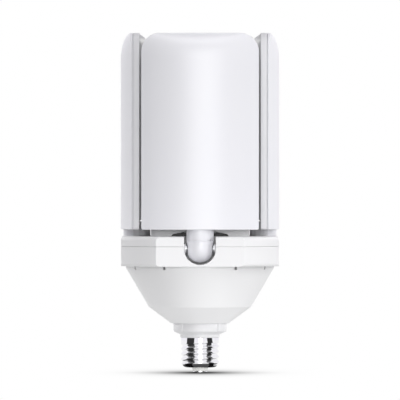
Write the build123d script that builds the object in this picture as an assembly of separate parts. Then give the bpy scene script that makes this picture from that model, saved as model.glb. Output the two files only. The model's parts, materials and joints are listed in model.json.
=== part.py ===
"""Folding four-leaf ceiling lamp on a screw cap, with the leaves folded together.

The origin is on the lamp's axis at the lower edge of the first thread crest. +Z runs from the
cap towards the leaves' free ends. The front leaf is drawn first, facing -Y, and the other three
are the same leaf turned about the axis.
"""
from build123d import *
import math
import os

os.makedirs("parts", exist_ok=True)

# ---------------------------------------------------------------- driving dimensions, mm

# screw cap
CREST_R = 13.1
THREAD_DEPTH = 0.9
THREAD_PITCH = 3.63
THREAD_CRESTS = 4
CREST_FLAT = 1.0
ROOT_FLAT = 1.1
SHELL_WALL = 0.4
SHELL_BAND = 5.1
LIP_R = 9.0
LIP_DROP = 3.8
CONTACT_R = 5.0
CONTACT_DISC = 1.2
CONTACT_EDGE = 0.5
INSULATOR_R = 5.6
INSULATOR_NOSE = 2.5
INSULATOR_PLAY = 0.7
RIVET_R = 1.2
RIVET_RISE = 1.0

# collar between the cap and the driver housing
NECK_R = 13.7
NECK_RISE = 2.2
COLLAR_R = 18.4
COLLAR_FLARE = 2.1
COLLAR_HEIGHT = 5.5
COLLAR_BORE_R = 9.0
COLLAR_SPIGOT = 4.0
COLLAR_RIB_WIDTH = 2.4
COLLAR_RIB_PROUD = 0.7

# driver housing and its lid
FOOT_R = 19.9
KNEE_R = 35.4
KNEE_RISE = 11.4
CONE_TOP_R = 51.3
CONE_RISE = 27.1
RING_STEP = 1.4
RING_R = 62.4
FLAT_REACH = 54.5
SKIRT_HEIGHT = 13.6
LID_HEIGHT = 7.1
RING_LOW_FILLET = 2.0
RING_TOP_FILLET = 3.0
FLAT_TOP_FILLET = 2.0
WALL = 2.2
LID_WALL = 2.5
BOSS_INSET = 9.9
BOSS_HEIGHT = 4.7
BOSS_CORNER = 4.0
WIRE_GATE_HALF = 20.0
WIRE_GATE_LEAN = 1.2
WIRE_GATE_SIDE_RISE = 1.5
WIRE_GATE_RISE = 3.2
VENT_WIDTH = 2.0
VENT_HEIGHT = 2.4
VENT_ANGLE = 16.0

# hinge
PIVOT_INSET = 10.5
PIVOT_DROP = 8.5
KNUCKLE_R = 9.5
KNUCKLE_GAP = 1.5
KNUCKLE_INNER_GAP = 1.1
CHEEK_HALF = 7.3
CHEEK_R = 4.3
AXLE_R = 2.0
AXLE_HALF = 16.5
AXLE_CHAMFER = 0.4
AXLE_FIT = 0.05
RUNNING_FIT = 0.08
SADDLE_DEPTH = 4.8
SADDLE_HALF = 5.0
SADDLE_DROP = 6.9
WASHER_R = 4.1
WASHER_THICKNESS = 1.2
BEARING_R = 3.6
BEARING_GAP = 0.1
SPRING_THICKNESS = 0.5
SPRING_DISH = 0.75

# leaf
LEAF_RISE = 4.7
LEAF_SIDE_GAP = 1.4
LEAF_LENGTH = 135.7
LEAF_CORNER = 13.0
LEAF_FOOT_CORNER = 1.2
CROWN_RISE = 8.2
ROLL_LENGTH = 18.4
ROLL_END_RISE = 0.7
COVER_WALL = 2.0
SEAM_OFFSET = 2.7
SEAM_RISE = 5.4
FRAME_THICKNESS = 4.8
FRAME_POCKET_INSET = 4.3
FRAME_WINDOW_INSET = 6.5
FRAME_LEDGE = 2.7
GUSSET_RISE = 5.3
GUSSET_PROUD = 4.0
DIFFUSER_DEPTH = 4.0
DIFFUSER_INSET = 0.6
DIFFUSER_SIDE_INSET = 5.0
DIFFUSER_TAPER = 35.0
DIFFUSER_FACE = 1.5
DIFFUSER_SKIRT = 1.3
DIFFUSER_LIP = 1.2

# parts inside a leaf
SINK_PLATE = 2.0
SINK_CLEARANCE = 0.2
FIN_PITCH = 7.0
FIN_THICKNESS = 1.2
FIN_COUNT = 9
FIN_MARGIN = 10.0
FIN_TIP_GAP = 1.0
LED_BOARD_THICKNESS = 1.2
LED_BOARD_GAP = 0.5
CHIP_WIDTH = 3.5
CHIP_LENGTH = 2.8
CHIP_HEIGHT = 0.8
CHIP_COLUMNS = 4
CHIP_ROWS = 8
CHIP_COLUMN_PITCH = 16.0
CHIP_ROW_PITCH = 14.0
LEAF_SCREW_R = 1.25
LEAF_SCREW_HEAD_R = 2.4
LEAF_SCREW_HEAD = 1.1
LEAF_SCREW_DEPTH = 7.0
LEAF_SCREW_SPAN = 94.0
SCREW_BAY_COUNT = 2
LEAF_BOSS_R = 2.6

# driver inside the housing
BOARD_R = 28.5
BOARD_THICKNESS = 1.6
BOARD_STANDOFF = 17.0
PILLAR_R = 2.8
PILLAR_REACH = 20.0
PILLAR_COUNT = 3
SCREW_FIT = 0.05
CROSS_LENGTH_SHARE = 1.3
CROSS_WIDTH_SHARE = 0.3
SMALL_SCREW_R = 1.1
SMALL_SCREW_HEAD_R = 2.2
SMALL_SCREW_HEAD = 1.4
SMALL_SCREW_LENGTH = 8.0
COLLAR_SCREW_COUNT = 3
COLLAR_SCREW_TURN = 30.0
COLLAR_SCREW_REACH = 13.6
COLLAR_SCREW_DEPTH = 3.5
POST_REACH = 24.0
POST_R = 4.0
LID_SCREW_R = 1.5
LID_SCREW_HEAD_R = 2.9
LID_SCREW_HEAD = 1.8
LID_SCREW_DEPTH = 18.0
LID_HOLE_SPARE = 1.0
LEAD_R = 0.8
LEAD_BEND = 6.0
LEAD_RISE = 12.0
LEAD_GAP = 0.16
LEAD_INSET = 4.0
LEAD_END_DROP = 4.0
CORE_WIDTH = 19.0
CORE_DEPTH = 15.0
CORE_HEIGHT = 16.0
CORE_LIMB = 3.0
CORE_X = -9.0
CORE_Y = 7.0
BOBBIN_OVERHANG = 1.5
CAPACITOR_EDGE = 0.8
TALL_CAPACITOR_R = 5.0
TALL_CAPACITOR_HEIGHT = 20.0
TALL_CAPACITOR_X = 7.0
TALL_CAPACITOR_Y = -13.0
SMALL_CAPACITOR_R = 4.0
SMALL_CAPACITOR_HEIGHT = 14.0
SMALL_CAPACITOR_X = -4.0
SMALL_CAPACITOR_Y = -12.5
CHOKE_BORE_R = 1.9
CHOKE_R = 8.1
CHOKE_HEIGHT = 6.2
CHOKE_EDGE = 1.5
CHOKE_X = 9.0
CHOKE_Y = 12.0
RECTIFIER_WIDTH = 6.0
RECTIFIER_LENGTH = 8.0
RECTIFIER_HEIGHT = 4.0
RECTIFIER_EDGE = 0.6
RECTIFIER_X = 10.0
RECTIFIER_Y = -2.0

# ---------------------------------------------------------------- places that follow from them

THREAD_SPAN = (THREAD_CRESTS - 1) * THREAD_PITCH + CREST_FLAT
SHELL_TOP_Z = THREAD_SPAN + SHELL_BAND
NECK_TOP_Z = SHELL_TOP_Z + NECK_RISE
COLLAR_LOW_Z = NECK_TOP_Z + COLLAR_FLARE
COLLAR_TOP_Z = COLLAR_LOW_Z + COLLAR_HEIGHT
KNEE_Z = COLLAR_TOP_Z + KNEE_RISE
CONE_TOP_Z = KNEE_Z + CONE_RISE
RING_LOW_Z = CONE_TOP_Z + RING_STEP
PARTING_Z = RING_LOW_Z + SKIRT_HEIGHT
DECK_Z = PARTING_Z + LID_HEIGHT
BOSS_TOP_Z = DECK_Z + BOSS_HEIGHT
PIVOT_Z = DECK_Z - PIVOT_DROP
LEAF_FOOT_Z = DECK_Z + LEAF_RISE
LEAF_TOP_Z = LEAF_FOOT_Z + LEAF_LENGTH
PIVOT_REACH = FLAT_REACH - PIVOT_INSET
SEAM_REACH = PIVOT_REACH + SEAM_OFFSET
CROWN_REACH = SEAM_REACH + CROWN_RISE
FRAME_REACH = SEAM_REACH - FRAME_THICKNESS
LEAF_HALF = FRAME_REACH - LEAF_SIDE_GAP
CROWN_R = (LEAF_HALF**2 + CROWN_RISE**2) / (2 * CROWN_RISE)
BOSS_HALF = PIVOT_REACH - BOSS_INSET
SEAM_Z = PIVOT_Z + SEAM_RISE
NOTCH_HALF = KNUCKLE_R + KNUCKLE_GAP
NOTCH_END = PIVOT_REACH - KNUCKLE_R - KNUCKLE_INNER_GAP
BOARD_Z = COLLAR_TOP_Z + WALL + BOARD_STANDOFF
PLATE_REACH = FRAME_REACH + FRAME_LEDGE
LED_BOARD_REACH = PLATE_REACH - LED_BOARD_THICKNESS
LEAF_MIDDLE_Z = (LEAF_FOOT_Z + LEAF_TOP_Z) / 2

LEAVES = {"front": 0, "right": 90, "back": 180, "left": 270}

# ---------------------------------------------------------------- drawing helpers


def turned(points):
    """A solid of revolution about the lamp's axis, from (radius, height) points."""
    return revolve(Plane.XZ * make_face(Polyline(*points, close=True)), Axis.Z)


def rod(radius, x, y, low_z, high_z):
    """An upright round bar."""
    return Pos(x, y, (low_z + high_z) / 2) * Cylinder(radius, high_z - low_z)


def block(half_width, near, far, low_z, high_z):
    """A box across the front leaf's middle, between two distances from the lamp's axis."""
    centre = Pos(0, -(near + far) / 2, (low_z + high_z) / 2)
    return centre * Box(2 * half_width, far - near, high_z - low_z)


def outward(sketch, near, far):
    """Carries an (across, height) sketch from one distance from the axis out to another."""
    return extrude(Plane.XZ.offset(near) * sketch, far - near)


def inward(sketch, start, depth, taper=0.0):
    """Carries an (across, height) sketch from a distance from the axis in towards it."""
    plane = Plane(origin=(0, -start, 0), x_dir=(-1, 0, 0), z_dir=(0, 1, 0))
    return extrude(plane * sketch, depth, taper=taper)


def crosswise(radius, half_length):
    """A bar along the front hinge's axis."""
    return Pos(0, -PIVOT_REACH, PIVOT_Z) * Rot(0, 90, 0) * Cylinder(radius, 2 * half_length)


def around(shape, count=4, start=0.0):
    """Copies of a shape, evenly spaced about the lamp's axis."""
    return [Rot(0, 0, start + 360 * i / count) * shape for i in range(count)]


def save(name, shapes):
    """Writes one sub-part, whose solids share a node."""
    solids = []
    for shape in shapes:
        solids.extend(shape.solids())
    export_step(Compound(label=name, children=solids), "parts/" + name + ".step")


# ---------------------------------------------------------------- screw cap


def shell_wall(inset):
    """The rolled wall's (radius, height) points, from the foot's shoulder up to the open end."""
    flank = (THREAD_PITCH - CREST_FLAT - ROOT_FLAT) / 2
    crest = CREST_R - inset
    root = CREST_R - THREAD_DEPTH - inset
    points = []
    for turn in range(THREAD_CRESTS):
        low = turn * THREAD_PITCH
        points.append((crest, low))
        points.append((crest, low + CREST_FLAT))
        if turn < THREAD_CRESTS - 1:
            points.append((root, low + CREST_FLAT + flank))
            points.append((root, low + THREAD_PITCH - flank))
    points.append((root, THREAD_SPAN + flank))
    points.append((root, THREAD_SPAN + flank + ROOT_FLAT / 2))
    points.append((crest, THREAD_SPAN + 2 * flank + ROOT_FLAT / 2))
    points.append((crest, SHELL_TOP_Z))
    return points


def screw_shell():
    """Thin metal shell with its thread rolled in and its foot drawn in to a lip."""
    outer = shell_wall(0)
    inner = list(reversed(shell_wall(SHELL_WALL)))
    bend = math.cos(math.radians(45))
    drop = LIP_DROP
    middle = (LIP_R + (CREST_R - LIP_R) * bend, -drop * bend)
    foot = ThreePointArc((LIP_R, -drop), middle, outer[0])
    inner_middle = (middle[0] - SHELL_WALL, middle[1] + SHELL_WALL)
    inner_lip = (LIP_R - SHELL_WALL, -drop + SHELL_WALL)
    inner_foot = ThreePointArc(inner[-1], inner_middle, inner_lip)
    walls = Polyline(*outer, *inner)
    lip = Polyline(inner_lip, (LIP_R - SHELL_WALL, -drop), (LIP_R, -drop))
    return revolve(Plane.XZ * make_face(foot + walls + inner_foot + lip), Axis.Z)


def cap_insulator():
    """Moulded plug that fills the shell's foot and holds the centre contact."""
    nose_z = -LIP_DROP - INSULATOR_NOSE
    neck = LIP_R - SHELL_WALL - RUNNING_FIT
    shoulder_z = -LIP_DROP + 2 * SHELL_WALL
    plug_r = CREST_R - THREAD_DEPTH - SHELL_WALL - INSULATOR_PLAY
    return turned([
        (RIVET_R, nose_z),
        (CONTACT_R, nose_z),
        (INSULATOR_R, -LIP_DROP),
        (neck, -LIP_DROP),
        (neck, shoulder_z),
        (plug_r, -THREAD_DEPTH),
        (plug_r, CREST_FLAT),
        (RIVET_R, CREST_FLAT),
    ])


def centre_contact():
    """Domed-edge disc with the rivet that holds it in the insulator."""
    top_z = -LIP_DROP - INSULATOR_NOSE
    low_z = top_z - CONTACT_DISC
    disc = fillet(rod(CONTACT_R, 0, 0, low_z, top_z).edges().sort_by(Axis.Z)[0], CONTACT_EDGE)
    return disc + rod(RIVET_R, 0, 0, low_z + CONTACT_EDGE, CREST_FLAT + RIVET_RISE)


# ---------------------------------------------------------------- collar


def collar_screw_places():
    place = Pos(COLLAR_SCREW_REACH, 0, 0)
    step = 360 / COLLAR_SCREW_COUNT
    return [Rot(0, 0, COLLAR_SCREW_TURN + step * i) * place for i in range(COLLAR_SCREW_COUNT)]


def cap_collar():
    """White neck that the shell is pressed onto, with a flared collar under the housing."""
    plug_r = CREST_R - SHELL_WALL
    body = turned([
        (COLLAR_BORE_R, SHELL_TOP_Z - COLLAR_SPIGOT),
        (plug_r - THREAD_DEPTH, SHELL_TOP_Z - COLLAR_SPIGOT),
        (plug_r - THREAD_DEPTH, SHELL_TOP_Z - COLLAR_SPIGOT / 2),
        (plug_r, SHELL_TOP_Z - COLLAR_SPIGOT / 2),
        (plug_r, SHELL_TOP_Z),
        (NECK_R, SHELL_TOP_Z),
        (NECK_R, NECK_TOP_Z),
        (COLLAR_R, COLLAR_LOW_Z),
        (COLLAR_R, COLLAR_TOP_Z),
        (COLLAR_BORE_R + WALL, COLLAR_TOP_Z),
        (COLLAR_BORE_R + WALL, COLLAR_TOP_Z + WALL),
        (COLLAR_BORE_R, COLLAR_TOP_Z + WALL),
    ])
    rib = Box(2 * COLLAR_RIB_PROUD, COLLAR_RIB_WIDTH, COLLAR_HEIGHT)
    for copy in around(Pos(COLLAR_R, 0, (COLLAR_LOW_Z + COLLAR_TOP_Z) / 2) * rib, 4, 45):
        body = body + copy
    for place in collar_screw_places():
        body = body - place * rod(SMALL_SCREW_R, 0, 0, COLLAR_TOP_Z - COLLAR_SCREW_DEPTH, COLLAR_TOP_Z)
    return body


# ---------------------------------------------------------------- driver housing and lid


def outer_form():
    """The housing and lid together: two cones under a round ring that is cut by four flats."""
    low = RING_LOW_FILLET
    top = RING_TOP_FILLET
    bend = 1 - math.cos(math.radians(45))
    side = Line((RING_R, RING_LOW_Z + low), (RING_R, DECK_Z - top))
    low_corner = ThreePointArc(
        (RING_R - low, RING_LOW_Z),
        (RING_R - low * bend, RING_LOW_Z + low * bend),
        (RING_R, RING_LOW_Z + low),
    )
    top_corner = ThreePointArc(
        (RING_R, DECK_Z - top),
        (RING_R - top * bend, DECK_Z - top * bend),
        (RING_R - top, DECK_Z),
    )
    rest = Polyline(
        (RING_R - top, DECK_Z),
        (0, DECK_Z),
        (0, COLLAR_TOP_Z),
        (FOOT_R, COLLAR_TOP_Z),
        (KNEE_R, KNEE_Z),
        (CONE_TOP_R, CONE_TOP_Z),
        (CONE_TOP_R, RING_LOW_Z),
        (RING_R - low, RING_LOW_Z),
    )
    round_form = revolve(Plane.XZ * make_face(low_corner + side + top_corner + rest), Axis.Z)
    height = DECK_Z - COLLAR_TOP_Z
    flats = Pos(0, 0, COLLAR_TOP_Z + height / 2) * Box(2 * FLAT_REACH, 2 * FLAT_REACH, height)
    flats = fillet(flats.faces().sort_by(Axis.Z)[-1].edges(), FLAT_TOP_FILLET)
    return round_form & flats


def inner_form():
    """The hollow that the housing and lid close around."""
    lean = WALL * math.hypot(CONE_TOP_R - KNEE_R, CONE_RISE) / CONE_RISE
    low_lean = WALL * math.hypot(KNEE_R - FOOT_R, KNEE_RISE) / KNEE_RISE
    floor_z = COLLAR_TOP_Z + WALL
    floor_r = FOOT_R + (KNEE_R - FOOT_R) * WALL / KNEE_RISE - low_lean
    round_form = turned([
        (0, floor_z),
        (floor_r, floor_z),
        (KNEE_R - lean, KNEE_Z),
        (CONE_TOP_R - lean, CONE_TOP_Z),
        (CONE_TOP_R - lean, RING_LOW_Z + WALL),
        (RING_R - WALL, RING_LOW_Z + WALL),
        (RING_R - WALL, DECK_Z - LID_WALL),
        (0, DECK_Z - LID_WALL),
    ])
    reach = FLAT_REACH - WALL
    height = DECK_Z - COLLAR_TOP_Z
    return round_form & (Pos(0, 0, COLLAR_TOP_Z + height / 2) * Box(2 * reach, 2 * reach, height))


def notch(margin, end, far, top_z):
    """The U that the knuckle turns in, or with a margin the wall that lines it."""
    half = NOTCH_HALF + margin
    rise = top_z - PIVOT_Z
    sketch = Pos(0, PIVOT_Z) * Circle(half) + Pos(0, PIVOT_Z + rise / 2) * Rectangle(2 * half, rise)
    return outward(sketch, end - margin, far)


def saddle_blocks(low_z, high_z):
    """The pair of bearing blocks either side of the front notch."""
    wide = block(NOTCH_HALF + WALL + SADDLE_DEPTH, PIVOT_REACH - SADDLE_HALF,
                 PIVOT_REACH + SADDLE_HALF, low_z, high_z)
    return wide - block(NOTCH_HALF, 0, RING_R, low_z, high_z)


def washer_stack_end():
    """How far from the knuckle's middle the dished washer reaches."""
    return CHEEK_HALF + 2 * AXLE_FIT + WASHER_THICKNESS + SPRING_THICKNESS + SPRING_DISH


def bearing_rings():
    """Short bosses on the front notch's walls that the washers press on."""
    start = washer_stack_end() + BEARING_GAP
    return crosswise(BEARING_R, NOTCH_HALF + WALL / 2) - crosswise(BEARING_R, start)


def axle_seat(open_top_z):
    """The running hole for the axle, with a slot up to the parting plane that lets it drop in."""
    seat = crosswise(AXLE_R + RUNNING_FIT, AXLE_HALF + 2 * RUNNING_FIT)
    slot = block(AXLE_HALF + 2 * RUNNING_FIT, PIVOT_REACH - AXLE_R - RUNNING_FIT,
                 PIVOT_REACH + AXLE_R + RUNNING_FIT, PIVOT_Z, open_top_z)
    return seat, slot


def post_places():
    return [Pos(POST_REACH * x, POST_REACH * y, 0) for x in (-1, 1) for y in (-1, 1)]


def pillar_places():
    return [Rot(0, 0, 360 * i / PILLAR_COUNT) * Pos(PILLAR_REACH, 0, 0) for i in range(PILLAR_COUNT)]


def driver_housing(outer, inner):
    """Moulded cone with the lower halves of the hinge notches and their axle saddles."""
    shell = outer - inner
    for liner in around(notch(WALL, NOTCH_END, FLAT_REACH, DECK_Z)):
        shell = shell + (liner & outer)
    for pair in around(saddle_blocks(PIVOT_Z - SADDLE_DROP, PARTING_Z)):
        shell = shell + pair
    for place in post_places():
        shell = shell + (place * rod(POST_R, 0, 0, KNEE_Z, PARTING_Z) & outer)
    for place in pillar_places():
        shell = shell + (place * rod(PILLAR_R, 0, 0, COLLAR_TOP_Z, BOARD_Z) & outer)
    below = Pos(0, 0, (COLLAR_TOP_Z + PARTING_Z) / 2) * Box(
        2 * RING_R, 2 * RING_R, PARTING_Z - COLLAR_TOP_Z)
    shell = shell & below
    seat, slot = axle_seat(PARTING_Z)
    vent_z = RING_LOW_Z - VENT_HEIGHT / 2
    vent = Pos(CONE_TOP_R, 0, vent_z) * Box(3 * WALL, VENT_WIDTH, VENT_HEIGHT)
    for turn in range(4):
        quarter = Rot(0, 0, 90 * turn)
        shell = shell - quarter * notch(0, NOTCH_END, RING_R, DECK_Z)
        shell = shell + (quarter * bearing_rings() & below)
        shell = shell - quarter * seat
        shell = shell - quarter * slot
        for angle in (45 - VENT_ANGLE, 45 + VENT_ANGLE):
            shell = shell - quarter * Rot(0, 0, angle) * vent
    screw_end_z = BOSS_TOP_Z - LID_SCREW_HEAD - LID_SCREW_DEPTH
    for place in post_places():
        shell = shell - place * rod(LID_SCREW_R, 0, 0, screw_end_z - LID_HOLE_SPARE, PARTING_Z)
    for place in pillar_places():
        shell = shell - place * rod(SMALL_SCREW_R, 0, 0, BOARD_Z - SMALL_SCREW_LENGTH, BOARD_Z)
    for place in collar_screw_places():
        shell = shell - place * rod(SMALL_SCREW_R, 0, 0, COLLAR_TOP_Z, COLLAR_TOP_Z + WALL)
    spigot_r = COLLAR_BORE_R + WALL + RUNNING_FIT
    return shell - rod(spigot_r, 0, 0, COLLAR_TOP_Z, COLLAR_TOP_Z + WALL)


def boss_form(inset, low_z, high_z):
    half = BOSS_HALF - inset
    sketch = RectangleRounded(2 * half, 2 * half, BOSS_CORNER - inset / 2)
    return extrude(Pos(0, 0, low_z) * sketch, high_z - low_z)


def wire_gate():
    """The low opening in the boss's front wall that lets the leaf's wires out beside the knuckle."""
    side = WIRE_GATE_HALF - WIRE_GATE_LEAN
    half = [
        (WIRE_GATE_HALF, DECK_Z),
        (side, DECK_Z + WIRE_GATE_SIDE_RISE),
        (NOTCH_HALF, DECK_Z + WIRE_GATE_RISE),
    ]
    mirrored = [(-across, height) for across, height in reversed(half)]
    return outward(Polygon(*half, *mirrored, align=None), BOSS_HALF - 2 * LID_WALL, RING_R)


def deck_lid(outer, inner):
    """Cover with the raised square boss and the keepers that hold the axles down."""
    above = Pos(0, 0, (PARTING_Z + BOSS_TOP_Z) / 2) * Box(
        2 * RING_R, 2 * RING_R, BOSS_TOP_Z - PARTING_Z)
    lid = outer - inner
    lid = lid + boss_form(0, DECK_Z - LID_WALL, BOSS_TOP_Z)
    lid = lid - boss_form(LID_WALL, PARTING_Z, BOSS_TOP_Z - LID_WALL)
    for liner in around(notch(WALL, NOTCH_END, FLAT_REACH, DECK_Z)):
        lid = lid + (liner & outer)
    for pair in around(saddle_blocks(PARTING_Z, DECK_Z - LID_WALL)):
        lid = lid + pair
    for place in post_places():
        lid = lid + place * rod(POST_R, 0, 0, PARTING_Z, BOSS_TOP_Z - LID_WALL)
    lid = lid & above
    seat, slot = axle_seat(PARTING_Z)
    for turn in range(4):
        quarter = Rot(0, 0, 90 * turn)
        lid = lid - quarter * notch(0, NOTCH_END, RING_R, BOSS_TOP_Z)
        lid = lid + (quarter * bearing_rings() & above)
        lid = lid - quarter * seat
        lid = lid - quarter * wire_gate()
    for place in post_places():
        lid = lid - place * rod(LID_SCREW_R, 0, 0, PARTING_Z, BOSS_TOP_Z)
        lid = lid - place * rod(LID_SCREW_HEAD_R + SCREW_FIT, 0, 0, BOSS_TOP_Z - LID_SCREW_HEAD, BOSS_TOP_Z)
    return lid


def screw(shank_r, head_r, head_height, under_head_z, depth):
    """A pan-headed screw that points down, with a cross recess in its head."""
    head = rod(head_r, 0, 0, under_head_z, under_head_z + head_height)
    shank = rod(shank_r - SCREW_FIT, 0, 0, under_head_z - depth, under_head_z)
    arm = Pos(0, 0, under_head_z + head_height)
    length = CROSS_LENGTH_SHARE * head_r
    width = CROSS_WIDTH_SHARE * head_r
    return head + shank - arm * Box(length, width, head_height) - arm * Box(width, length, head_height)


# ---------------------------------------------------------------- one leaf


def leaf_outline(inset, foot=0.0, side=0.0):
    """The leaf's face: round corners at the free end, nearly square ones at the hinge end.

    The inset is taken off all round. The foot and side lengths come off there as well.
    """
    half = LEAF_HALF - inset - side
    low = LEAF_FOOT_Z + inset + foot
    top = LEAF_TOP_Z - inset
    plate = Pos(0, (low + top) / 2) * Rectangle(2 * half, top - low)
    corners = plate.vertices().group_by(Axis.Y)
    plate = fillet(corners[-1], LEAF_CORNER - inset)
    corners = plate.vertices().group_by(Axis.Y)
    return fillet(corners[0], LEAF_FOOT_CORNER)


def crowned(inset, near=SEAM_REACH):
    """The back cover's rounded form: bowed across its width and rolled down at the free end."""
    high = CROWN_REACH - inset
    top = LEAF_TOP_Z - inset
    blank = outward(leaf_outline(inset), near, CROWN_REACH)
    bow = Pos(0, CROWN_R - CROWN_REACH, LEAF_MIDDLE_Z) * Cylinder(CROWN_R - inset, 2 * LEAF_LENGTH)
    roll_start = LEAF_TOP_Z - ROLL_LENGTH
    end_reach = SEAM_REACH + ROLL_END_RISE - inset
    bend = math.cos(math.radians(45))
    corner = (end_reach + (high - end_reach) * bend, roll_start + (top - roll_start) * bend)
    side = Polyline((end_reach, top), (0, top), (0, PIVOT_Z), (high, PIVOT_Z), (high, roll_start))
    roll = ThreePointArc((high, roll_start), corner, (end_reach, top))
    plane = Plane(origin=(0, 0, 0), x_dir=(0, -1, 0), z_dir=(-1, 0, 0))
    profile = extrude(plane * make_face(side + roll), LEAF_HALF, both=True)
    return blank & bow & profile


def thumb(radius, top_z):
    """Round-ended upright bar about the knuckle's centre line."""
    rise = top_z - PIVOT_Z
    bend = radius * math.cos(math.radians(45))
    ball = ThreePointArc((0, -radius), (bend, -bend), (radius, 0))
    sides = Polyline((radius, 0), (radius, rise), (0, rise), (0, -radius))
    bar = revolve(Plane.XZ * make_face(ball + sides), Axis.Z)
    return Pos(0, -PIVOT_REACH, PIVOT_Z) * bar


def cheek_pockets():
    """The two flat-bottomed recesses in the knuckle's sides that the washers sit in."""
    half_depth = (KNUCKLE_R - CHEEK_HALF) / 2
    return [
        Pos(side * (CHEEK_HALF + half_depth), -PIVOT_REACH, PIVOT_Z)
        * Rot(0, 90, 0)
        * Cylinder(CHEEK_R, 2 * half_depth)
        for side in (-1, 1)
    ]


def leaf_screw_places():
    """Screw axes midway between two fins, as (across, height)."""
    across = (SCREW_BAY_COUNT + 0.5) * FIN_PITCH
    return [
        (side * across, LEAF_MIDDLE_Z + end * LEAF_SCREW_SPAN / 2)
        for side in (-1, 1)
        for end in (-1, 1)
    ]


def back_cover():
    """Crowned outer shell of the leaf, with the outer half of the knuckle's stem."""
    cover = crowned(0)
    stem = thumb(KNUCKLE_R, LEAF_FOOT_Z + COVER_WALL)
    stem = stem & block(KNUCKLE_R, SEAM_REACH, PIVOT_REACH + KNUCKLE_R, SEAM_Z, LEAF_FOOT_Z + COVER_WALL)
    hollow = crowned(COVER_WALL)
    cover = cover - hollow + stem
    core = thumb(KNUCKLE_R - COVER_WALL, LEAF_FOOT_Z + COVER_WALL)
    cover = cover - (core & block(KNUCKLE_R, SEAM_REACH, CROWN_REACH, SEAM_Z, LEAF_FOOT_Z + COVER_WALL))
    for across, height in leaf_screw_places():
        boss = outward(Pos(across, height) * Circle(LEAF_BOSS_R), PLATE_REACH + SINK_PLATE, CROWN_REACH)
        hole = outward(Pos(across, height) * Circle(LEAF_SCREW_R), SEAM_REACH,
                       LED_BOARD_REACH + LEAF_SCREW_DEPTH)
        cover = cover + (boss & crowned(COVER_WALL / 2)) - hole
    return cover


def knuckle_cover():
    """Outer half of the ball end, below the seam."""
    cap = thumb(KNUCKLE_R, SEAM_Z) & block(
        KNUCKLE_R, SEAM_REACH, PIVOT_REACH + KNUCKLE_R, PIVOT_Z - KNUCKLE_R, SEAM_Z)
    for pocket in cheek_pockets():
        cap = cap - pocket
    return cap


def leaf_frame():
    """Rim that carries the heat sink and the diffuser, with the hinge arm moulded on."""
    frame = outward(leaf_outline(0), FRAME_REACH, SEAM_REACH)
    frame = frame - outward(leaf_outline(FRAME_WINDOW_INSET), FRAME_REACH, SEAM_REACH)
    frame = frame - outward(leaf_outline(FRAME_POCKET_INSET), PLATE_REACH, SEAM_REACH)
    gusset_z = LEAF_FOOT_Z + GUSSET_RISE
    bar = thumb(KNUCKLE_R, gusset_z)
    arm = bar & block(KNUCKLE_R, 0, SEAM_REACH, PIVOT_Z - KNUCKLE_R, LEAF_FOOT_Z)
    gusset = bar & block(KNUCKLE_R, FRAME_REACH - GUSSET_PROUD, PLATE_REACH, LEAF_FOOT_Z, gusset_z)
    frame = frame + arm + gusset
    for pocket in cheek_pockets():
        frame = frame - pocket
    return frame - crosswise(AXLE_R + AXLE_FIT, KNUCKLE_R)


def diffuser():
    """Milky tray over the LEDs, with sloping sides and a rim that fits the frame's window."""
    face = leaf_outline(DIFFUSER_INSET, GUSSET_RISE, DIFFUSER_SIDE_INSET - DIFFUSER_INSET)
    tray = inward(face, FRAME_REACH, DIFFUSER_DEPTH, DIFFUSER_TAPER)
    skirt_inset = FRAME_WINDOW_INSET + RUNNING_FIT
    rim = outward(leaf_outline(skirt_inset), FRAME_REACH, FRAME_REACH + DIFFUSER_SKIRT)
    room = leaf_outline(skirt_inset + DIFFUSER_LIP)
    tray = tray + rim - outward(room, FRAME_REACH - DIFFUSER_DEPTH + DIFFUSER_FACE, PLATE_REACH)
    return tray


def heat_sink():
    """Aluminium plate in the frame's pocket, with fins that follow the cover's bow."""
    inset = FRAME_POCKET_INSET + SINK_CLEARANCE
    sink = outward(leaf_outline(inset), PLATE_REACH, PLATE_REACH + SINK_PLATE)
    length = LEAF_LENGTH - 2 * (inset + FIN_MARGIN)
    comb = Sketch()
    for i in range(FIN_COUNT):
        across = (i - (FIN_COUNT - 1) / 2) * FIN_PITCH
        comb = comb + Pos(across, LEAF_MIDDLE_Z) * Rectangle(FIN_THICKNESS, length)
    fins = outward(comb, PLATE_REACH + SINK_PLATE / 2, CROWN_REACH)
    sink = sink + (fins & crowned(COVER_WALL + FIN_TIP_GAP, PLATE_REACH))
    for across, height in leaf_screw_places():
        hole = Pos(across, height) * Circle(LEAF_SCREW_R)
        sink = sink - outward(hole, PLATE_REACH, PLATE_REACH + SINK_PLATE)
    return sink


def led_board():
    board = outward(leaf_outline(FRAME_WINDOW_INSET + LED_BOARD_GAP), LED_BOARD_REACH, PLATE_REACH)
    for across, height in leaf_screw_places():
        board = board - outward(Pos(across, height) * Circle(LEAF_SCREW_R), LED_BOARD_REACH, PLATE_REACH)
    return board


def led_chips():
    chips = []
    for column in range(CHIP_COLUMNS):
        for row in range(CHIP_ROWS):
            across = (column - (CHIP_COLUMNS - 1) / 2) * CHIP_COLUMN_PITCH
            height = LEAF_MIDDLE_Z + (row - (CHIP_ROWS - 1) / 2) * CHIP_ROW_PITCH
            face = Pos(across, height) * Rectangle(CHIP_WIDTH, CHIP_LENGTH)
            chips.append(outward(face, LED_BOARD_REACH - CHIP_HEIGHT, LED_BOARD_REACH))
    return chips


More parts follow.
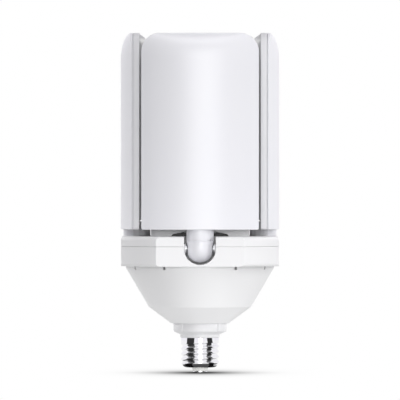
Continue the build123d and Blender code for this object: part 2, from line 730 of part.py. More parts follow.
def leaf_screws():
    """Screws through the LED board and the heat sink into the back cover's bosses."""
    screws = []
    for across, height in leaf_screw_places():
        head = outward(Pos(across, height) * Circle(LEAF_SCREW_HEAD_R),
                       LED_BOARD_REACH - LEAF_SCREW_HEAD, LED_BOARD_REACH)
        shank = outward(Pos(across, height) * Circle(LEAF_SCREW_R - SCREW_FIT),
                        LED_BOARD_REACH, LED_BOARD_REACH + LEAF_SCREW_DEPTH)
        screws.append(head + shank)
    return screws


def hinge_axle():
    pin = crosswise(AXLE_R, AXLE_HALF)
    ends = pin.edges().filter_by(GeomType.CIRCLE)
    return chamfer(ends, AXLE_CHAMFER)


def friction_washers():
    """A flat washer and a dished spring washer on each side of the knuckle."""
    flat_start = CHEEK_HALF + AXLE_FIT
    spring_start = flat_start + WASHER_THICKNESS + AXLE_FIT
    spring_end = washer_stack_end()
    bore = AXLE_R + RUNNING_FIT
    flat = turned([
        (bore, flat_start),
        (WASHER_R, flat_start),
        (WASHER_R, flat_start + WASHER_THICKNESS),
        (bore, flat_start + WASHER_THICKNESS),
    ])
    dished = turned([
        (bore, spring_start),
        (bore, spring_start + SPRING_THICKNESS),
        (WASHER_R, spring_end),
        (WASHER_R, spring_end - SPRING_THICKNESS),
    ])
    return [
        Pos(0, -PIVOT_REACH, PIVOT_Z) * Rot(0, side * 90, 0) * washer
        for side in (-1, 1)
        for washer in (flat, dished)
    ]


# ---------------------------------------------------------------- driver inside the housing


def driver_board():
    board = rod(BOARD_R, 0, 0, BOARD_Z, BOARD_Z + BOARD_THICKNESS)
    for place in pillar_places():
        board = board - place * rod(SMALL_SCREW_R, 0, 0, BOARD_Z, BOARD_Z + BOARD_THICKNESS)
    return board


def transformer():
    """Ferrite core around a wound bobbin."""
    centre = Pos(CORE_X, CORE_Y, BOARD_Z + BOARD_THICKNESS + CORE_HEIGHT / 2)
    window_height = CORE_HEIGHT - 2 * CORE_LIMB
    core = Box(CORE_WIDTH, CORE_DEPTH, CORE_HEIGHT)
    core = core - Box(CORE_WIDTH - 2 * CORE_LIMB, CORE_DEPTH, window_height)
    core = core + Box(CORE_LIMB, CORE_DEPTH, CORE_HEIGHT)
    bobbin = Rot(90, 0, 0) * Cylinder(window_height / 2, CORE_DEPTH + 2 * BOBBIN_OVERHANG)
    return centre * (core + bobbin)


def capacitor(radius, height, x, y):
    """Electrolytic can that stands on the board, with a crimped upper edge."""
    low = BOARD_Z + BOARD_THICKNESS
    can = rod(radius, x, y, low, low + height)
    return chamfer(can.edges().filter_by(GeomType.CIRCLE).sort_by(Axis.Z)[-1], CAPACITOR_EDGE)


def choke():
    """Ring-shaped winding that lies on the board."""
    winding = turned([
        (CHOKE_BORE_R, CHOKE_EDGE),
        (CHOKE_BORE_R + CHOKE_EDGE, 0),
        (CHOKE_R - CHOKE_EDGE, 0),
        (CHOKE_R, CHOKE_EDGE),
        (CHOKE_R, CHOKE_HEIGHT - CHOKE_EDGE),
        (CHOKE_R - CHOKE_EDGE, CHOKE_HEIGHT),
        (CHOKE_BORE_R + CHOKE_EDGE, CHOKE_HEIGHT),
        (CHOKE_BORE_R, CHOKE_HEIGHT - CHOKE_EDGE),
    ])
    return Pos(CHOKE_X, CHOKE_Y, BOARD_Z + BOARD_THICKNESS) * winding


def bridge_rectifier():
    centre = Pos(RECTIFIER_X, RECTIFIER_Y, BOARD_Z + BOARD_THICKNESS + RECTIFIER_HEIGHT / 2)
    body = centre * Box(RECTIFIER_WIDTH, RECTIFIER_LENGTH, RECTIFIER_HEIGHT)
    return chamfer(body.faces().sort_by(Axis.Z)[-1].edges(), RECTIFIER_EDGE)


def lead(points, bend):
    """Insulated wire along a bent run."""
    path = FilletPolyline(*points, radius=bend)
    start = Plane(origin=points[0], z_dir=path % 0)
    return sweep(start * Circle(LEAD_R), path=path)


def live_lead():
    """From the contact's rivet up the middle of the cap to the driver board."""
    end = (COLLAR_BORE_R / 2, COLLAR_BORE_R / 3, BOARD_Z - LEAD_R / 2)
    return lead([(0, 0, CREST_FLAT + RIVET_RISE), (0, 0, SHELL_TOP_Z), end], LEAD_BEND)


def neutral_lead():
    """From the shell's second groove, over to the collar's bore and up to the driver board."""
    wall = CREST_R - THREAD_DEPTH - SHELL_WALL
    across = 2 * COLLAR_BORE_R / 3
    start = (wall - LEAD_GAP - LEAD_R, 0, 1.5 * THREAD_PITCH + CREST_FLAT / 2)
    turn = (across, 0, SHELL_TOP_Z - COLLAR_SPIGOT)
    return lead([start, turn, (across, -COLLAR_BORE_R / 3, BOARD_Z - LEAD_R / 2)], LEAD_BEND)


def leaf_leads():
    """Four supply wires from the driver board up to the hinge notches."""
    low = BOARD_Z + BOARD_THICKNESS
    reach = BOARD_R - LEAD_INSET
    wall = NOTCH_END - WALL
    end = (0, -wall + LEAD_R, PIVOT_Z - LEAD_END_DROP)
    return around(lead([(0, -reach, low), (0, -reach, low + LEAD_RISE), end], LEAD_BEND))


# ---------------------------------------------------------------- the whole lamp


def build():
    outer = outer_form()
    inner = inner_form()
    save("screw_shell", [screw_shell()])
    save("cap_insulator", [cap_insulator()])
    save("centre_contact", [centre_contact()])
    save("cap_collar", [cap_collar()])
    save("driver_housing", [driver_housing(outer, inner)])
    save("deck_lid", [deck_lid(outer, inner)])

    lid_screw = screw(LID_SCREW_R, LID_SCREW_HEAD_R, LID_SCREW_HEAD,
                      BOSS_TOP_Z - LID_SCREW_HEAD, LID_SCREW_DEPTH)
    board_screw = screw(SMALL_SCREW_R, SMALL_SCREW_HEAD_R, SMALL_SCREW_HEAD,
                        BOARD_Z + BOARD_THICKNESS, SMALL_SCREW_LENGTH)
    collar_screw = screw(SMALL_SCREW_R, SMALL_SCREW_HEAD_R, SMALL_SCREW_HEAD,
                         COLLAR_TOP_Z + WALL, WALL + COLLAR_SCREW_DEPTH - SCREW_FIT)
    save("lid_screws", [place * lid_screw for place in post_places()])
    save("board_screws", [place * board_screw for place in pillar_places()])
    save("collar_screws", [place * collar_screw for place in collar_screw_places()])

    save("driver_board", [driver_board()])
    save("transformer", [transformer()])
    save("capacitors", [
        capacitor(TALL_CAPACITOR_R, TALL_CAPACITOR_HEIGHT, TALL_CAPACITOR_X, TALL_CAPACITOR_Y),
        capacitor(SMALL_CAPACITOR_R, SMALL_CAPACITOR_HEIGHT, SMALL_CAPACITOR_X, SMALL_CAPACITOR_Y),
    ])
    save("choke", [choke()])
    save("bridge_rectifier", [bridge_rectifier()])
    save("live_lead", [live_lead()])
    save("neutral_lead", [neutral_lead()])
    save("leaf_leads", leaf_leads())

    leaf_parts = {
        "back_cover": [back_cover()],
        "knuckle_cover": [knuckle_cover()],
        "frame": [leaf_frame()],
        "diffuser": [diffuser()],
        "heat_sink": [heat_sink()],
        "led_board": [led_board()],
        "led_chips": led_chips(),
        "leaf_screws": leaf_screws(),
        "hinge_axle": [hinge_axle()],
        "friction_washers": friction_washers(),
    }
    for side, angle in LEAVES.items():
        for part_name, shapes in leaf_parts.items():
            save(side + "_" + part_name, [Rot(0, 0, angle) * shape for shape in shapes])


build()
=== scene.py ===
"""Looks of the folding four-leaf lamp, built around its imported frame. Metres, +Z from cap to leaf ends."""
import json
import math

import bmesh
import bpy
from mathutils import Matrix, Vector


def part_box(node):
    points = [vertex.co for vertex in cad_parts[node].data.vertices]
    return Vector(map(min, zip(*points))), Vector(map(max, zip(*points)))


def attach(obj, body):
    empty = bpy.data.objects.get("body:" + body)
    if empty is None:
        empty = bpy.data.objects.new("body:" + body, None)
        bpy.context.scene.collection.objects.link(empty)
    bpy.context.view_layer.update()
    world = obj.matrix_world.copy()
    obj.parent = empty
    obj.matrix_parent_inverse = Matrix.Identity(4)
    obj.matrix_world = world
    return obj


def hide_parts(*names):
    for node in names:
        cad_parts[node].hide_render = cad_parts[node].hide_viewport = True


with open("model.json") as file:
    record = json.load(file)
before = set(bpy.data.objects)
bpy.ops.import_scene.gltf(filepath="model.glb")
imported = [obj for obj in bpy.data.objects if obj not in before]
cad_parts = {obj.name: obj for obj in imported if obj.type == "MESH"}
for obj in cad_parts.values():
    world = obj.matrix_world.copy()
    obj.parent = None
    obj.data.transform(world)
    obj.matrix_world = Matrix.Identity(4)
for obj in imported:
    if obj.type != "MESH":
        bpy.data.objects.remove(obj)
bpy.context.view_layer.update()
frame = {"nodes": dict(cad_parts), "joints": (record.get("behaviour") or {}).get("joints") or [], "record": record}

MM = 0.001
SIDES = {"front": 0, "right": 90, "back": 180, "left": 270}
SLOTS = {row["node"]: row["material_slot"] for row in frame["record"]["subparts"]}

# ---------------------------------------------------------------- sizes from the frame

cover_low, cover_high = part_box("front_back_cover")
knuckle_low, knuckle_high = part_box("front_knuckle_cover")
lid_low, lid_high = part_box("deck_lid")
shell_low, shell_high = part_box("screw_shell")
tray_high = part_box("front_diffuser")[1]
tip_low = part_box("centre_contact")[0]
front_pivot = frame["joints"][0]["pos_m"]

BOSS_HEIGHT = 4.7 * MM

LEAF_HALF = cover_high.x
LEAF_TOP = cover_high.z
LEAF_FOOT = lid_high.z
SEAM_REACH = -cover_high.y
CROWN_REACH = -cover_low.y
TRAY_HALF = tray_high.x
TRAY_TOP = tray_high.z
PIVOT_REACH = -front_pivot[1]
PIVOT_Z = front_pivot[2]
KNUCKLE_R = PIVOT_Z - knuckle_low.z
SEAM_Z = knuckle_high.z
DECK_Z = LEAF_FOOT - BOSS_HEIGHT
PARTING_Z = lid_low.z
TIP_Z = tip_low.z
LIP_Z = shell_low.z
SHELL_TOP = shell_high.z
CREST_R = shell_high.x

# ---------------------------------------------------------------- camera and lamps

# what one picture point spans at the lamp's axis, and the sensor's width in millimetres
PIXEL = 0.693 * MM
IMAGE_WIDTH = 400
SENSOR = 36.0
CAMERA_DISTANCE = 8.0
CAMERA_RISE = 0.45
CAMERA_RANGE = 100
AIM_HEIGHT = 119.7 * MM
AIM = Vector((0, 0, TIP_Z + AIM_HEIGHT))

LAMP_DISTANCE = 1.5
# degrees round from the front, degrees up, width and height, watts, whether mirrors show it
LAMPS = {
    "front_box": (3, 6, (0.55, 0.75), 7.4, True),
    "right_box": (65, 5, (0.8, 1.2), 14.0, False),
    "left_box": (-115, 5, (0.6, 1.2), 8.0, False),
    "back_left_box": (-145, 8, (0.8, 1.2), 15.0, False),
    "back_right_box": (145, 8, (0.8, 1.2), 15.0, False),
    "high_box": (0, 45, (0.8, 0.6), 4.5, True),
}


def stand_off(name, data, azimuth, rise, distance):
    """Stands a camera or a light at a distance, turned to the object's middle. Angles in degrees."""
    turn, lift = math.radians(azimuth), math.radians(rise)
    way = Vector((math.sin(turn) * math.cos(lift), -math.cos(turn) * math.cos(lift), math.sin(lift)))
    thing = bpy.data.objects.new(name, data)
    thing.location = AIM + distance * way
    thing.rotation_euler = (-way).to_track_quat("-Z", "Y").to_euler()
    bpy.context.scene.collection.objects.link(thing)
    return thing


def stand_camera():
    data = bpy.data.cameras.new("camera")
    data.sensor_width = SENSOR
    data.lens = SENSOR * CAMERA_DISTANCE / (IMAGE_WIDTH * PIXEL)
    data.clip_end = CAMERA_RANGE
    bpy.context.scene.camera = stand_off("camera", data, 0, CAMERA_RISE, CAMERA_DISTANCE)


def light_lamps():
    for name, (azimuth, rise, size, power, mirrored) in LAMPS.items():
        data = bpy.data.lights.new(name, "AREA")
        data.shape = "RECTANGLE"
        data.size, data.size_y = size
        data.energy = power
        lamp = stand_off(name, data, azimuth, rise, LAMP_DISTANCE)
        lamp.visible_glossy = mirrored


# ---------------------------------------------------------------- shader maths

# places of a Mix node's colour sockets
MIX_FIRST = 6
MIX_SECOND = 7
MIX_RESULT = 2


class Sock:
    """A shader socket that adds Math nodes when it is used in an expression."""

    def __init__(self, shader, socket):
        self.shader = shader
        self.socket = socket

    def __add__(self, other):
        return self.shader.maths("ADD", self, other)

    __radd__ = __add__

    def __sub__(self, other):
        return self.shader.maths("SUBTRACT", self, other)

    def __rsub__(self, other):
        return self.shader.maths("SUBTRACT", other, self)

    def __mul__(self, other):
        return self.shader.maths("MULTIPLY", self, other)

    __rmul__ = __mul__

    def __truediv__(self, other):
        return self.shader.maths("DIVIDE", self, other)

    def __pow__(self, other):
        return self.shader.maths("POWER", self, other)

    def __neg__(self):
        return self.shader.maths("MULTIPLY", self, -1.0)

    def __abs__(self):
        return self.shader.maths("ABSOLUTE", self)

    def fade(self):
        """1 where the value is 0, and down towards 0 as it grows."""
        return self.shader.maths("EXPONENT", -self)

    def ramp(self, low, high):
        """0 below low, 1 above high, and smooth between them."""
        made = self.shader.node(
            "ShaderNodeMapRange", {"interpolation_type": "SMOOTHSTEP"},
            {"Value": self, "From Min": low, "From Max": high, "To Min": 0.0, "To Max": 1.0})
        return made[0]

    def band(self, low, high, soft):
        """1 between low and high, and smooth down to 0 past them."""
        return self.ramp(low - soft, low) * (1 - self.ramp(high, high + soft))


class Outputs:
    """A node's outputs, by place or name."""

    def __init__(self, shader, made):
        self.shader = shader
        self.made = made

    def __getitem__(self, key):
        return Sock(self.shader, self.made.outputs[key])


class Shader:
    """One material's node tree."""

    def __init__(self, tree):
        self.tree = tree
        tree.nodes.clear()

    def node(self, kind, settings=None, inputs=None):
        """Adds a node and returns its outputs."""
        made = self.tree.nodes.new(kind)
        for key, value in (settings or {}).items():
            setattr(made, key, value)
        for key, value in (inputs or {}).items():
            socket = made.inputs[key]
            if isinstance(value, Sock):
                self.tree.links.new(value.socket, socket)
            else:
                socket.default_value = value
        return Outputs(self, made)

    def maths(self, operation, *values):
        return self.node("ShaderNodeMath", {"operation": operation}, dict(enumerate(values)))[0]

    def place(self, kind="Object"):
        """The point's place in the lamp's frame or, in the world, its direction, as three values."""
        place = self.node("ShaderNodeTexCoord")[kind]
        split = self.node("ShaderNodeSeparateXYZ", None, {"Vector": place})
        return split[0], split[1], split[2]

    def noise(self, scale, detail, roughness, stretch=(1, 1, 1), seed=0.0):
        """Soft random values from 0 to 1, the same each time."""
        place = self.node("ShaderNodeTexCoord")["Object"]
        moved = self.node("ShaderNodeMapping", None,
                          {"Vector": place, "Scale": stretch, "Location": (seed, seed, seed)})[0]
        return self.node("ShaderNodeTexNoise", None,
                         {"Vector": moved, "Scale": scale, "Detail": detail, "Roughness": roughness})[0]

    def blend(self, factor, first, second):
        """Mixes two colours."""
        return self.node("ShaderNodeMix", {"data_type": "RGBA"},
                         {"Factor": factor, MIX_FIRST: first, MIX_SECOND: second})[MIX_RESULT]

    def bump(self, height, strength, distance):
        return self.node("ShaderNodeBump", None,
                         {"Height": height, "Strength": strength, "Distance": distance})[0]

    def finish(self, inputs):
        """Ends a solid material."""
        surface = self.node("ShaderNodeBsdfPrincipled", None, inputs)[0]
        self.node("ShaderNodeOutputMaterial", None, {"Surface": surface})


def material(name):
    made = bpy.data.materials.new(name)
    made.use_nodes = True
    return made, Shader(made.node_tree)


def grey(level, cool=0.0):
    """A grey that leans to blue as cool grows."""
    return (level * (1 - cool), level * (1 - cool), min(1.0, level * (1 + cool)), 1)


def shade(colour, share=1.0):
    """A colour's share, with full cover."""
    return tuple(share * part for part in colour) + (1,)


# ---------------------------------------------------------------- finishes

# each noise's scale is in patches per metre
FLOW = {"scale": 14, "detail": 3, "roughness": 0.55, "stretch": (1, 1, 0.35)}
FLOW_LEVEL = 0.992
FLOW_COOL = 1.3
EGGSHELL = {"scale": 2600, "detail": 2, "roughness": 0.6}
EGGSHELL_DEPTH = 0.03 * MM
HANDLING = {"scale": 60, "detail": 4, "roughness": 0.6, "seed": 3.0}
GLOSS_SPREAD = 0.05
DUST = {"scale": 900, "detail": 1, "roughness": 0.5, "seed": 7.0}
DUST_SHARE = 0.08
DUST_LEVEL = 0.85


def moulded_white(name, level, cool, roughness, grain, index):
    """Injection-moulded plastic: faint flow shading, a fine eggshell grain and soft handling marks."""
    made, shader = material(name)
    flow = shader.noise(**FLOW).ramp(0.3, 0.7)
    fine = shader.noise(**EGGSHELL)
    handled = shader.noise(**HANDLING)
    dust = shader.noise(**DUST).ramp(0.74, 0.8)
    tone = shader.blend(flow, grey(level, cool), grey(level * FLOW_LEVEL, cool * FLOW_COOL))
    tone = shader.blend(dust * DUST_SHARE, tone, grey(level * DUST_LEVEL))
    shader.finish({
        "Base Color": tone,
        "Roughness": roughness + (handled - 0.5) * GLOSS_SPREAD + (fine - 0.5) * GLOSS_SPREAD,
        "IOR": index,
        "Normal": shader.bump(fine, grain, EGGSHELL_DEPTH),
    })
    return made


TURNING = {"scale": 900, "detail": 2, "roughness": 0.5, "stretch": (0.04, 0.04, 1)}
TURNING_SHARE = 0.4
TURNING_BUMP = 0.12
TURNING_DEPTH = 0.02 * MM
DULL_SPOTS = {"scale": 240, "detail": 3, "roughness": 0.6, "seed": 2.0}
DULL_SHARE = 0.35
DULL_LEVEL = 0.8
WORN_MOST = 0.1


def bright_metal(name, colour, roughness):
    """Plated metal with fine turning lines and a few dull spots."""
    made, shader = material(name)
    lines = shader.noise(**TURNING)
    spots = shader.noise(**DULL_SPOTS).ramp(0.55, 0.75)
    shader.finish({
        "Base Color": shader.blend(spots * DULL_SHARE, shade(colour), shade(colour, DULL_LEVEL)),
        "Metallic": 1.0,
        "Roughness": roughness + (lines * TURNING_SHARE + spots) * min(roughness, WORN_MOST),
        "Normal": shader.bump(lines, TURNING_BUMP, TURNING_DEPTH),
    })
    return made


MOTTLE_LEVEL = 0.78
MOTTLE_SPREAD = 0.14
MOTTLE_BUMP = 0.2
MOTTLE_DEPTH = 0.05 * MM
# how many times finer the uneven gloss is than the mottle
FINER = 9


def plain_detail(name, colour, roughness, scale, metallic=0.0):
    """A finish for small or hidden parts: mottled colour and uneven gloss."""
    made, shader = material(name)
    mottle = shader.noise(scale, detail=4, roughness=0.6).ramp(0.35, 0.7)
    fine = shader.noise(scale * FINER, detail=2, roughness=0.5, seed=5.0)
    shader.finish({
        "Base Color": shader.blend(mottle, shade(colour), shade(colour, MOTTLE_LEVEL)),
        "Metallic": metallic,
        "Roughness": roughness + (fine - 0.5) * MOTTLE_SPREAD,
        "Normal": shader.bump(fine, MOTTLE_BUMP, MOTTLE_DEPTH),
    })
    return made


CLOUDS = {"scale": 30, "detail": 3, "roughness": 0.5}
SHEET_GRAIN = {"scale": 3200, "detail": 2, "roughness": 0.6}
SHEET_DEPTH = 0.04 * MM
SHEET_BUMP = 0.15
SHEET_TONE = (0.80, 0.80, 0.79, 1)
CLOUD_TONE = (0.77, 0.77, 0.77, 1)
# painted shade: the grey of the diffuser's border, darker than the sheet
PAINTED_SHADE_TONE = (0.46, 0.46, 0.47, 1)
SHEET_ROUGHNESS = 0.36
SHEET_SPREAD = 0.08
SHEET_INDEX = 1.58
MILKINESS = 0.25
MILK_REACH = 4 * MM
# how far in from the tray's long sides and its free end the painted shade along the border starts, and is full
SIDE_SHADE_BAND = (4.0 * MM, 1.5 * MM)
END_SHADE_BAND = (5.0 * MM, 2.0 * MM)


def milky_tray(name):
    """Diffuser: milky sheet moulding, with painted shade that makes it greyer along its edges."""
    made, shader = material(name)
    clouds = shader.noise(**CLOUDS).ramp(0.35, 0.65)
    fine = shader.noise(**SHEET_GRAIN)
    x, y, z = shader.place()
    across = shader.maths("MINIMUM", abs(x), abs(y))
    # painted shade along the tray's long sides and its free end
    side_shade = across.ramp(TRAY_HALF - SIDE_SHADE_BAND[0], TRAY_HALF - SIDE_SHADE_BAND[1])
    end_shade = z.ramp(TRAY_TOP - END_SHADE_BAND[0], TRAY_TOP - END_SHADE_BAND[1])
    edge_shade = shader.maths("MAXIMUM", side_shade, end_shade)
    shader.finish({
        "Base Color": shader.blend(edge_shade, shader.blend(clouds, SHEET_TONE, CLOUD_TONE), PAINTED_SHADE_TONE),
        "Roughness": SHEET_ROUGHNESS + (fine - 0.5) * SHEET_SPREAD,
        "IOR": SHEET_INDEX,
        "Subsurface Weight": MILKINESS,
        "Subsurface Radius": (MILK_REACH, MILK_REACH, MILK_REACH),
        "Subsurface Scale": 1.0,
        "Normal": shader.bump(fine, SHEET_BUMP, SHEET_DEPTH),
    })
    return made


# level, lean to blue, roughness, strength of the grain, index of refraction
MOULDED = {
    "housing_white": (0.86, 0.004, 0.42, 0.06, 1.49),
    "leaf_white": (0.86, 0.018, 0.31, 0.05, 1.58),
    # rim_white: the leaf white darkened, as painted shade for the slits between the leaves
    "rim_white": (0.765, 0.012, 0.55, 0.08, 1.42),
    # neck_white: the housing white darkened, as painted shade on the collar under the housing
    "neck_white": (0.77, 0.006, 0.4, 0.06, 1.49),
    "cap_insulator": (0.80, -0.01, 0.25, 0.06, 1.5),
}
# colour, roughness
METALS = {
    "chromed_shell": ((0.93, 0.93, 0.95), 0.03),
    "contact_metal": ((0.86, 0.86, 0.87), 0.22),
    "screw_steel": ((0.62, 0.63, 0.65), 0.24),
    "axle_steel": ((0.56, 0.57, 0.59), 0.28),
    "sink_aluminium": ((0.74, 0.75, 0.77), 0.38),
}
# colour, roughness, scale of the mottle, and how metallic where it is
SMALL_PARTS = {
    "circuit_board": ((0.07, 0.30, 0.14), 0.4, 160),
    "ferrite": ((0.10, 0.095, 0.09), 0.6, 300),
    "capacitor_sleeve": ((0.07, 0.09, 0.2), 0.3, 200),
    "copper_winding": ((0.70, 0.33, 0.15), 0.3, 500, 0.9),
    "black_epoxy": ((0.03, 0.03, 0.03), 0.45, 400),
    "wire_red": ((0.55, 0.05, 0.04), 0.4, 300),
    "wire_white": ((0.80, 0.80, 0.78), 0.4, 300),
    "led_board_white": ((0.86, 0.86, 0.85), 0.4, 200),
    "led_phosphor": ((0.86, 0.70, 0.22), 0.25, 900),
}

FINISHES = {"diffuser_milk": milky_tray("milky_tray")}
for make, table in ((moulded_white, MOULDED), (bright_metal, METALS), (plain_detail, SMALL_PARTS)):
    for name, values in table.items():
        FINISHES[name] = make(name, *values)


def dress_frame():
    """Gives every piece of the frame the finish of its slot."""
    for node, thing in frame["nodes"].items():
        thing.data.materials.clear()
        thing.data.materials.append(FINISHES[SLOTS[node]])


# ---------------------------------------------------------------- mesh helpers

MERGE = 0.12 * MM
NEAR = 0.01 * MM
ON_PLANE = 0.001 * MM
FLAT_ANGLE = math.radians(0.4)
SHARP_ANGLE = math.radians(18)


def make_object(name, data):
    thing = bpy.data.objects.new(name, data)
    bpy.context.scene.collection.objects.link(thing)
    return thing


def shade_smooth(data):
    for face in data.polygons:
        face.use_smooth = True


def edit_mesh(data, edit):
    """Runs an edit on the points, edges and faces of a mesh."""
    net = bmesh.new()
    net.from_mesh(data)
    edit(net)
    net.to_mesh(data)
    net.free()


def mark_plane(net, point, normal):
    """Adds points and edges where a plane cuts a mesh."""
    bmesh.ops.bisect_plane(net, geom=net.verts[:] + net.edges[:] + net.faces[:], dist=ON_PLANE,
                           plane_co=point, plane_no=normal)


def from_node(name, node):
    """A copy of a frame piece's shape with its flat faces made whole, to be finished further."""

    def make_whole(net):
        bmesh.ops.remove_doubles(net, verts=net.verts, dist=MERGE)
        bmesh.ops.dissolve_limit(net, angle_limit=FLAT_ANGLE, verts=net.verts, edges=net.edges)
        bmesh.ops.dissolve_degenerate(net, dist=NEAR, edges=net.edges)

    data = frame["nodes"][node].data.copy()
    data.name = name
    edit_mesh(data, make_whole)
    return make_object(name, data)


def soften(thing, width, segments=2):
    """Rounds a piece's sharp edges and shades the rest smooth."""
    shade_smooth(thing.data)
    bevel = thing.modifiers.new("edges", "BEVEL")
    bevel.width = width
    bevel.segments = segments
    bevel.limit_method = "ANGLE"
    bevel.angle_limit = SHARP_ANGLE
    bevel.harden_normals = True
    bpy.context.view_layer.update()
    seen = thing.evaluated_get(bpy.context.evaluated_depsgraph_get())
    rounded = bpy.data.meshes.new_from_object(seen)
    thing.modifiers.clear()
    thing.data = rounded
    return thing


def place_piece(thing, body, slot, *nodes, finish=None):
    """Gives a finished piece its body, slot and finish, and takes away the nodes it stands for."""
    thing.data.materials.clear()
    thing.data.materials.append(FINISHES[finish or slot])
    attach(thing, body)
    if nodes:
        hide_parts(*nodes)


def steps(low, high, count):
    return [low + (high - low) * i / count for i in range(count + 1)]


def eased(share):
    """A share from 0 to 1, with soft ends."""
    return share * share * (3 - 2 * share)


# ---------------------------------------------------------------- skins made from rows of points


class Skin:
    """Collects one mesh as rows of points with strips of faces between them."""

    def __init__(self):
        self.points = []
        self.faces = []

    def row(self, points):
        first = len(self.points)
        self.points.extend(points)
        return list(range(first, len(self.points)))

    def strip(self, low, high, closed=False):
        count = len(low)
        for i in range(count if closed else count - 1):
            j = (i + 1) % count
            self.faces.append((low[i], low[j], high[j], high[i]))

    def sheet(self, rows):
        for low, high in zip(rows, rows[1:]):
            self.strip(low, high)

    def rings(self, rows):
        for low, high in zip(rows, rows[1:]):
            self.strip(low, high, closed=True)

    def cap(self, row):
        self.faces.append(tuple(row))

    def piece(self, name, turn=0.0):
        """The finished smooth mesh, turned about the lamp's axis."""
        data = bpy.data.meshes.new(name)
        data.from_pydata(self.points, [], self.faces)
        data.transform(Matrix.Rotation(math.radians(turn), 4, "Z"))
        edit_mesh(data, lambda net: bmesh.ops.recalc_face_normals(net, faces=net.faces))
        shade_smooth(data)
        return make_object(name, data)


def border(rows):
    """The outer loop of a sheet's rows, as they stand."""
    right = [row[-1] for row in rows[1:-1]]
    left = [row[0] for row in reversed(rows[1:-1])]
    return rows[0] + right + list(reversed(rows[-1])) + left


# ---------------------------------------------------------------- leaf covers

LEAF_CORNER = 13.0 * MM
FOOT_CORNER = 1.2 * MM
FOOT_CORNER_LEAST = 0.24 * MM
ROLL_LENGTH = 18.4 * MM
COVER_WALL = 2.0 * MM
EDGE_WALL = 0.7 * MM
EDGE_ROUND = 0.45 * MM
SEAM_ROUND = 0.16 * MM
STEM_OVERLAP = 1.4 * MM

LEAF_COLUMNS = 44
STEM_COLUMNS = 40
STRAIGHT_ROWS = 16
ROLL_ROWS = 26
FOOT_ROWS = 4
ROUND_STEPS = 4
SEAM_STEPS = 2


def leaf_rows(inset):
    """(across, height) points over the leaf's outline, drawn in by the inset."""
    half = LEAF_HALF - inset
    foot = LEAF_FOOT + inset
    top = LEAF_TOP - inset
    corner = LEAF_CORNER - inset
    foot_corner = max(FOOT_CORNER - inset, FOOT_CORNER_LEAST)
    roll_start = LEAF_TOP - ROLL_LENGTH
    widths = []
    for angle in steps(-90, 0, FOOT_ROWS)[:-1]:
        turn = math.radians(angle)
        widths.append((foot + foot_corner * (1 + math.sin(turn)), half - foot_corner * (1 - math.cos(turn))))
    for height in steps(foot + foot_corner, roll_start, STRAIGHT_ROWS)[:-1]:
        widths.append((height, half))
    for angle in steps(0, 90, ROLL_ROWS):
        height = roll_start + (top - roll_start) * math.sin(math.radians(angle))
        past = max(0.0, height - (top - corner))
        widths.append((height, half - corner + math.sqrt(max(0.0, corner**2 - past**2))))
    return [[(across * width, height) for across in steps(-1, 1, LEAF_COLUMNS)] for height, width in widths]


def crown_reach(across, height):
    """How far out the cover's back stands: bowed across, rolled down to its edge at the free end."""
    rise = CROWN_REACH - SEAM_REACH - EDGE_WALL
    radius = (LEAF_HALF**2 + rise**2) / (2 * rise)
    bow = (radius - math.sqrt(radius**2 - across**2)) / rise
    past = min(1.0, max(0.0, 1 - (LEAF_TOP - height) / ROLL_LENGTH))
    roll = 1 - math.sqrt(1 - past**2)
    return SEAM_REACH + EDGE_WALL + rise * (1 - bow) * (1 - roll)


def cover_shell(skin):
    """The crowned back with a rounded edge, a short wall down to the seam and a hollow underside."""

    def outer(across, height):
        return (across, -crown_reach(across, height), height)

    def inner(across, height):
        return (across, -max(SEAM_REACH, crown_reach(across, height) - COVER_WALL), height)

    back = [skin.row([outer(*point) for point in row]) for row in leaf_rows(EDGE_ROUND)]
    skin.sheet(back)
    loops = [border(back)]
    start = border(leaf_rows(EDGE_ROUND))
    for angle in steps(0, 90, ROUND_STEPS)[1:]:
        turn = math.radians(angle)
        drop = EDGE_ROUND * (1 - math.cos(turn))
        loop = border(leaf_rows(EDGE_ROUND * (1 - math.sin(turn))))
        reaches = [max(SEAM_REACH + SEAM_ROUND, crown_reach(*point) - drop) for point in start]
        loops.append(skin.row([(x, -reach, z) for (x, z), reach in zip(loop, reaches)]))
    for angle in steps(0, 90, SEAM_STEPS):
        turn = math.radians(angle)
        loop = border(leaf_rows(SEAM_ROUND * (1 - math.cos(turn))))
        reach = SEAM_REACH + SEAM_ROUND * (1 - math.sin(turn))
        loops.append(skin.row([(x, -reach, z) for x, z in loop]))
    hollow = [skin.row([inner(*point) for point in row]) for row in leaf_rows(COVER_WALL)]
    skin.sheet(hollow)
    loops.append(border(hollow))
    skin.rings(loops)


def stem_half(skin):
    """The outer half of the knuckle's stem, moulded with the cover, down to the knuckle cover's seam."""
    offset = SEAM_REACH - PIVOT_REACH
    spread = math.acos(offset / KNUCKLE_R)
    rows = []
    for angle in steps(0, 90, ROUND_STEPS):
        turn = math.radians(angle)
        rows.append((SEAM_Z + EDGE_ROUND * (1 - math.cos(turn)), EDGE_ROUND * (1 - math.sin(turn))))
    rows += [(LEAF_FOOT, 0), (LEAF_FOOT + STEM_OVERLAP, 0)]
    rings = []
    for height, inset in rows:
        radius = KNUCKLE_R - inset
        arc = [(radius * math.sin(a), -PIVOT_REACH - max(offset, radius * math.cos(a)), height)
               for a in steps(-spread, spread, STEM_COLUMNS)]
        rings.append(skin.row(arc))
    skin.rings(rings)
    skin.cap(rings[0])
    skin.cap(rings[-1])


def leaf_cover(side):
    skin = Skin()
    cover_shell(skin)
    stem_half(skin)
    cover = skin.piece(f"{side}_cover", SIDES[side])
    place_piece(cover, f"leaf_{side}", "leaf_white", f"{side}_back_cover")


# ---------------------------------------------------------------- rolled screw shell

